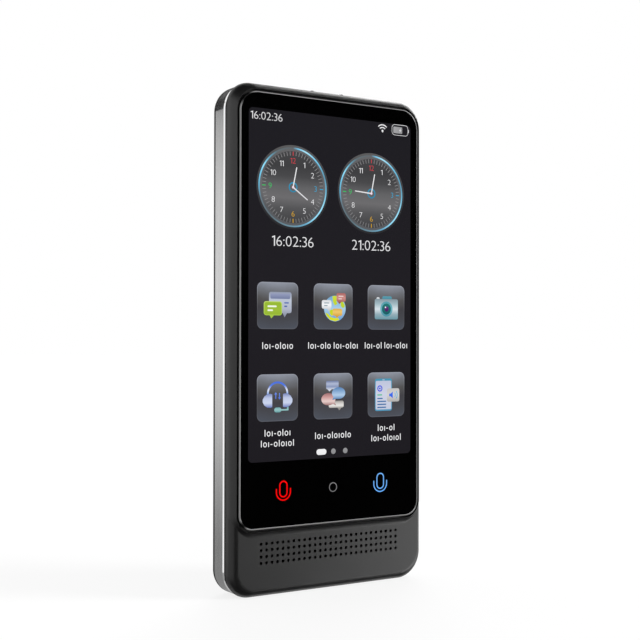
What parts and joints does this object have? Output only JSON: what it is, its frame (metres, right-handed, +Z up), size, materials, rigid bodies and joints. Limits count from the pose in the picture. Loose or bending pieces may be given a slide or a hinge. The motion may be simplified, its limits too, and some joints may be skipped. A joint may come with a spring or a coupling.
{
  "type": "handheld translator",
  "caption": "Slim upright handheld translator: touch display under a bevelled glass, speaker chin, aluminium frame, dark back cover, sprung power and volume keys.",
  "frame": {"origin": "middle of the flat base, between the front and back faces, on the surface that the device stands on", "axes": "+Z up along the device, +X towards the side that is on the right when the screen is read, -Y out of the screen, +Y out of the back cover"},
  "size_m": [0.0603, 0.0116, 0.132],
  "materials": {
    "housing_plastic": "fine-grained satin black moulded plastic",
    "brushed_aluminium": "satin brushed frame with a polished front chamfer",
    "cover_plastic": "matte black moulded plastic",
    "cover_glass": "polished glass over a black printed border",
    "adhesive_tape": "die-cut black foam tape",
    "display_panel": "lit colour display",
    "flex_film": "amber polyimide film",
    "board_black": "dark solder mask",
    "led_package": "small lamp package",
    "midframe_alloy": "cast alloy sheet",
    "battery_foil": "laminated pouch foil",
    "board_green": "green solder mask",
    "shield_tin": "tinned sheet",
    "chip_black": "moulded chip package",
    "camera_black": "black camera body",
    "camera_ring_metal": "turned dark anodised ring",
    "camera_glass": "dark polished window",
    "flash_lens": "frosted light pipe",
    "antenna_film": "printed copper film",
    "mic_can": "gold-plated microphone can",
    "boot_rubber": "soft black rubber",
    "key_metal": "polished and lightly brushed key",
    "switch_steel": "stamped steel",
    "motor_steel": "drawn steel can",
    "socket_steel": "drawn steel shell",
    "speaker_mesh": "fine black acoustic weave",
    "gasket_foam": "black foam",
    "speaker_case": "black moulded case",
    "screw_steel": "dark plated screws"
  },
  "bodies": {
    "handset": {"front_housing": "housing_plastic", "metal_frame": "brushed_aluminium", "back_cover": "cover_plastic", "cover_glass": "cover_glass", "glass_adhesive": "adhesive_tape", "display_panel": "display_panel", "display_flex": "flex_film", "touch_key_board": "board_black", "touch_key_flex": "flex_film", "key_light_left": "led_package", "key_light_middle": "led_package", "key_light_right": "led_package", "midframe": "midframe_alloy", "battery": "battery_foil", "battery_protection_board": "board_green", "battery_flex": "flex_film", "main_board": "board_green", "processor": "chip_black", "memory_chip": "chip_black", "processor_shield": "shield_tin", "radio_chip": "chip_black", "radio_shield": "shield_tin", "camera_module": "camera_black", "camera_ring": "camera_ring_metal", "camera_window": "camera_glass", "flash_light": "led_package", "flash_lens": "flash_lens", "wifi_antenna": "antenna_film", "top_microphone": "mic_can", "top_microphone_boot": "boot_rubber", "low_microphone": "mic_can", "low_microphone_boot": "boot_rubber", "power_switch": "switch_steel", "volume_up_switch": "switch_steel", "volume_down_switch": "switch_steel", "side_key_bracket": "switch_steel", "lower_board": "board_green", "vibration_motor": "motor_steel", "usb_receptacle": "socket_steel", "speaker_mesh": "speaker_mesh", "speaker_gasket": "gasket_foam", "speaker_box": "speaker_case", "main_flex": "flex_film", "frame_screw_1": "screw_steel", "frame_screw_2": "screw_steel", "frame_screw_3": "screw_steel", "frame_screw_4": "screw_steel", "main_board_screw_1": "screw_steel", "main_board_screw_2": "screw_steel", "lower_board_screw_1": "screw_steel", "lower_board_screw_2": "screw_steel"},
    "power_key": {"power_button": "key_metal"},
    "volume_up_key": {"volume_up_button": "key_metal"},
    "volume_down_key": {"volume_down_button": "key_metal"}
  },
  "joints": [
    {"name": "power_press", "type": "slide", "parent": "handset", "child": "power_key", "axis": [0, 0, -1], "range_m": [0, 0.0004], "stiffness_N_per_m": 1500},
    {"name": "volume_up_press", "type": "slide", "parent": "handset", "child": "volume_up_key", "axis": [-1, 0, 0], "range_m": [0, 0.0004], "stiffness_N_per_m": 1500},
    {"name": "volume_down_press", "type": "slide", "parent": "handset", "child": "volume_down_key", "axis": [-1, 0, 0], "range_m": [0, 0.0004], "stiffness_N_per_m": 1500}
  ]
}
